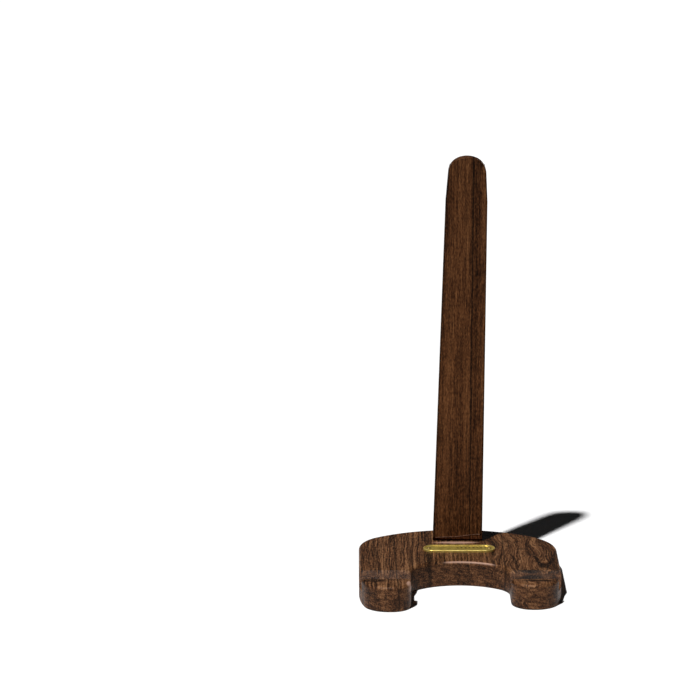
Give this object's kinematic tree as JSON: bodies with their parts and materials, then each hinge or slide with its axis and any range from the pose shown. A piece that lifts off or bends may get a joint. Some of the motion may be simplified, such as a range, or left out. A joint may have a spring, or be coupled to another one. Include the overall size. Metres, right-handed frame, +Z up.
{
  "type": "tablet stand",
  "caption": "Hardwood tablet stand: a horseshoe base with slotted prongs, a tall tapered upright that lifts out of a mortise, and a brass nameplate.",
  "frame": {"origin": "middle of the stand's footprint, on the surface it rests on", "axes": "+Z up, the prongs point along -Y towards the user, +X to the right seen from the front"},
  "size_m": [0.099, 0.1008, 0.2084],
  "materials": {
    "base_wood": "satin oiled",
    "upright_wood": "satin oiled",
    "brass": "satin",
    "pin_brass": "aged"
  },
  "bodies": {
    "stand": {"base": "base_wood", "nameplate": "brass", "plate_pins": "pin_brass"},
    "upright": {"upright": "upright_wood"}
  },
  "joints": [
    {"name": "upright_lift", "type": "slide", "parent": "stand", "child": "upright", "axis": [0.0192, 0.0087, 0.9998], "range_m": [0, 0.02]}
  ]
}
